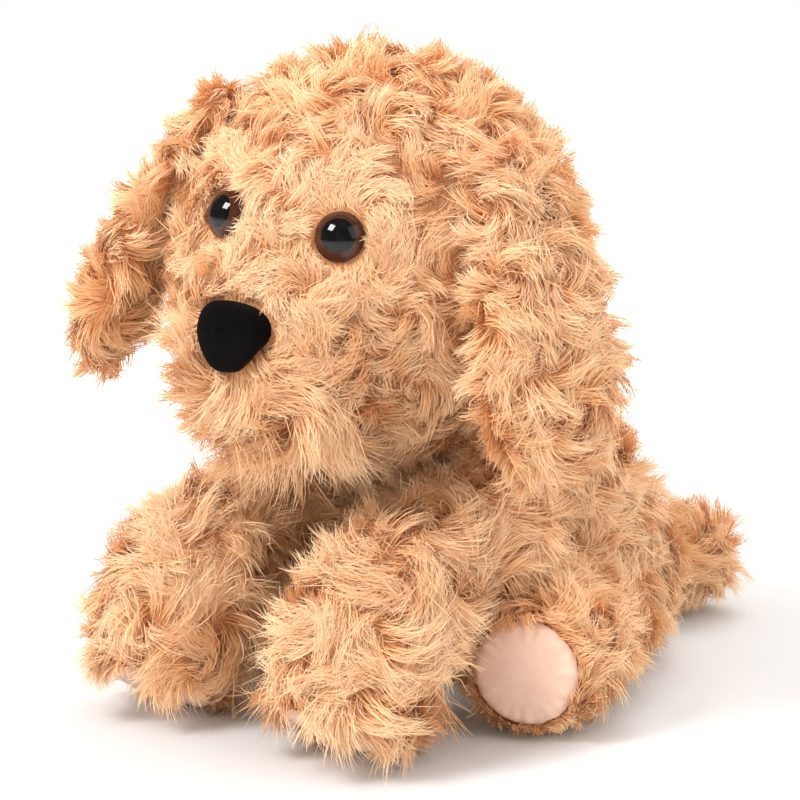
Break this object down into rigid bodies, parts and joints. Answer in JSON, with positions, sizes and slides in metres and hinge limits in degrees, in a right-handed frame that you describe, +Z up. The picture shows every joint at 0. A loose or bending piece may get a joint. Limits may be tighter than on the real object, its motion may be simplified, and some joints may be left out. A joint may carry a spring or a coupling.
{
  "type": "plush dog",
  "caption": "Sitting plush dog with curly fur, floppy ears, padded velour nose and soles, button eyes, and soft limbs, head and tail that turn on their seams.",
  "frame": {"origin": "on the flat seat of the torso, in the plane the dog sits on, midway between its left and right legs", "axes": "+Z up, the dog faces -Y, its left side is +X"},
  "size_m": [0.19, 0.2697, 0.2211],
  "materials": {
    "fur": "long curly apricot fur fabric",
    "fibrefill": "white loose polyester filling",
    "velour_pad": "short pinkish tan velour",
    "nose_velour": "black short-pile velour",
    "eye_brown": "glossy dark brown",
    "eye_black": "glossy black",
    "washer": "natural moulded plastic",
    "pellet_bag": "plain cotton bag",
    "neck_ring": "apricot fur fabric, stuffed"
  },
  "bodies": {
    "ear_left": {"ear_left_fill": "fibrefill", "ear_left_skin": "fur"},
    "ear_right": {"ear_right_fill": "fibrefill", "ear_right_skin": "fur"},
    "head": {"eye_left_iris": "eye_brown", "eye_left_pupil": "eye_black", "eye_left_washer": "washer", "eye_right_iris": "eye_brown", "eye_right_pupil": "eye_black", "eye_right_washer": "washer", "head_fill": "fibrefill", "head_skin": "fur", "muzzle_fill": "fibrefill", "muzzle_skin": "fur", "nose": "nose_velour"},
    "front_leg_left": {"front_leg_left_fill": "fibrefill", "front_leg_left_pad": "velour_pad", "front_leg_left_skin": "fur"},
    "front_leg_right": {"front_leg_right_fill": "fibrefill", "front_leg_right_pad": "velour_pad", "front_leg_right_skin": "fur"},
    "hind_leg_left": {"hind_leg_left_fill": "fibrefill", "hind_leg_left_pad": "velour_pad", "hind_leg_left_skin": "fur"},
    "hind_leg_right": {"hind_leg_right_fill": "fibrefill", "hind_leg_right_pad": "velour_pad", "hind_leg_right_skin": "fur"},
    "neck": {"neck_cushion": "neck_ring"},
    "torso": {"pellet_bag": "pellet_bag", "torso_fill": "fibrefill", "torso_skin": "fur"},
    "tail": {"tail_fill": "fibrefill", "tail_skin": "fur"}
  },
  "joints": [
    {"name": "neck_turn", "type": "hinge", "parent": "torso", "child": "neck", "pos_m": [0, -0.061, 0.151], "axis": [0, -0.5, 0.866], "range_deg": [-28, 28], "stiffness_Nm_per_rad": 0.6},
    {"name": "head_nod", "type": "hinge", "parent": "neck", "child": "head", "pos_m": [0, -0.061, 0.151], "axis": [-0.9813, -0.1554, 0.1132], "range_deg": [-10, 12], "stiffness_Nm_per_rad": 2},
    {"name": "ear_flap_left", "type": "hinge", "parent": "head", "child": "ear_left", "pos_m": [0.06109, -0.0682, 0.18909], "axis": [-0.1373, -0.99, 0.0331], "range_deg": [0, 70]},
    {"name": "ear_flap_right", "type": "hinge", "parent": "head", "child": "ear_right", "pos_m": [-0.04592, -0.08515, 0.20143], "axis": [-0.4365, 0.8991, 0.0331], "range_deg": [0, 70]},
    {"name": "front_leg_lift_left", "type": "hinge", "parent": "torso", "child": "front_leg_left", "pos_m": [0.044, -0.054, 0.0666], "axis": [-0.9986, 0.0523, 0], "range_deg": [0, 28]},
    {"name": "hind_leg_splay_left", "type": "hinge", "parent": "torso", "child": "hind_leg_left", "pos_m": [0.045, -0.004, 0.0247], "axis": [0, 0, 1], "range_deg": [0, 30], "stiffness_Nm_per_rad": 0.15},
    {"name": "front_leg_lift_right", "type": "hinge", "parent": "torso", "child": "front_leg_right", "pos_m": [-0.044, -0.054, 0.0666], "axis": [-0.9986, -0.0523, 0], "range_deg": [0, 28]},
    {"name": "hind_leg_splay_right", "type": "hinge", "parent": "torso", "child": "hind_leg_right", "pos_m": [-0.045, -0.004, 0.0247], "axis": [0, 0, -1], "range_deg": [0, 30], "stiffness_Nm_per_rad": 0.15},
    {"name": "tail_wag", "type": "hinge", "parent": "torso", "child": "tail", "pos_m": [0, 0.068, 0.022], "axis": [0, 0, 1], "range_deg": [-15, 45], "stiffness_Nm_per_rad": 0.03}
  ]
}
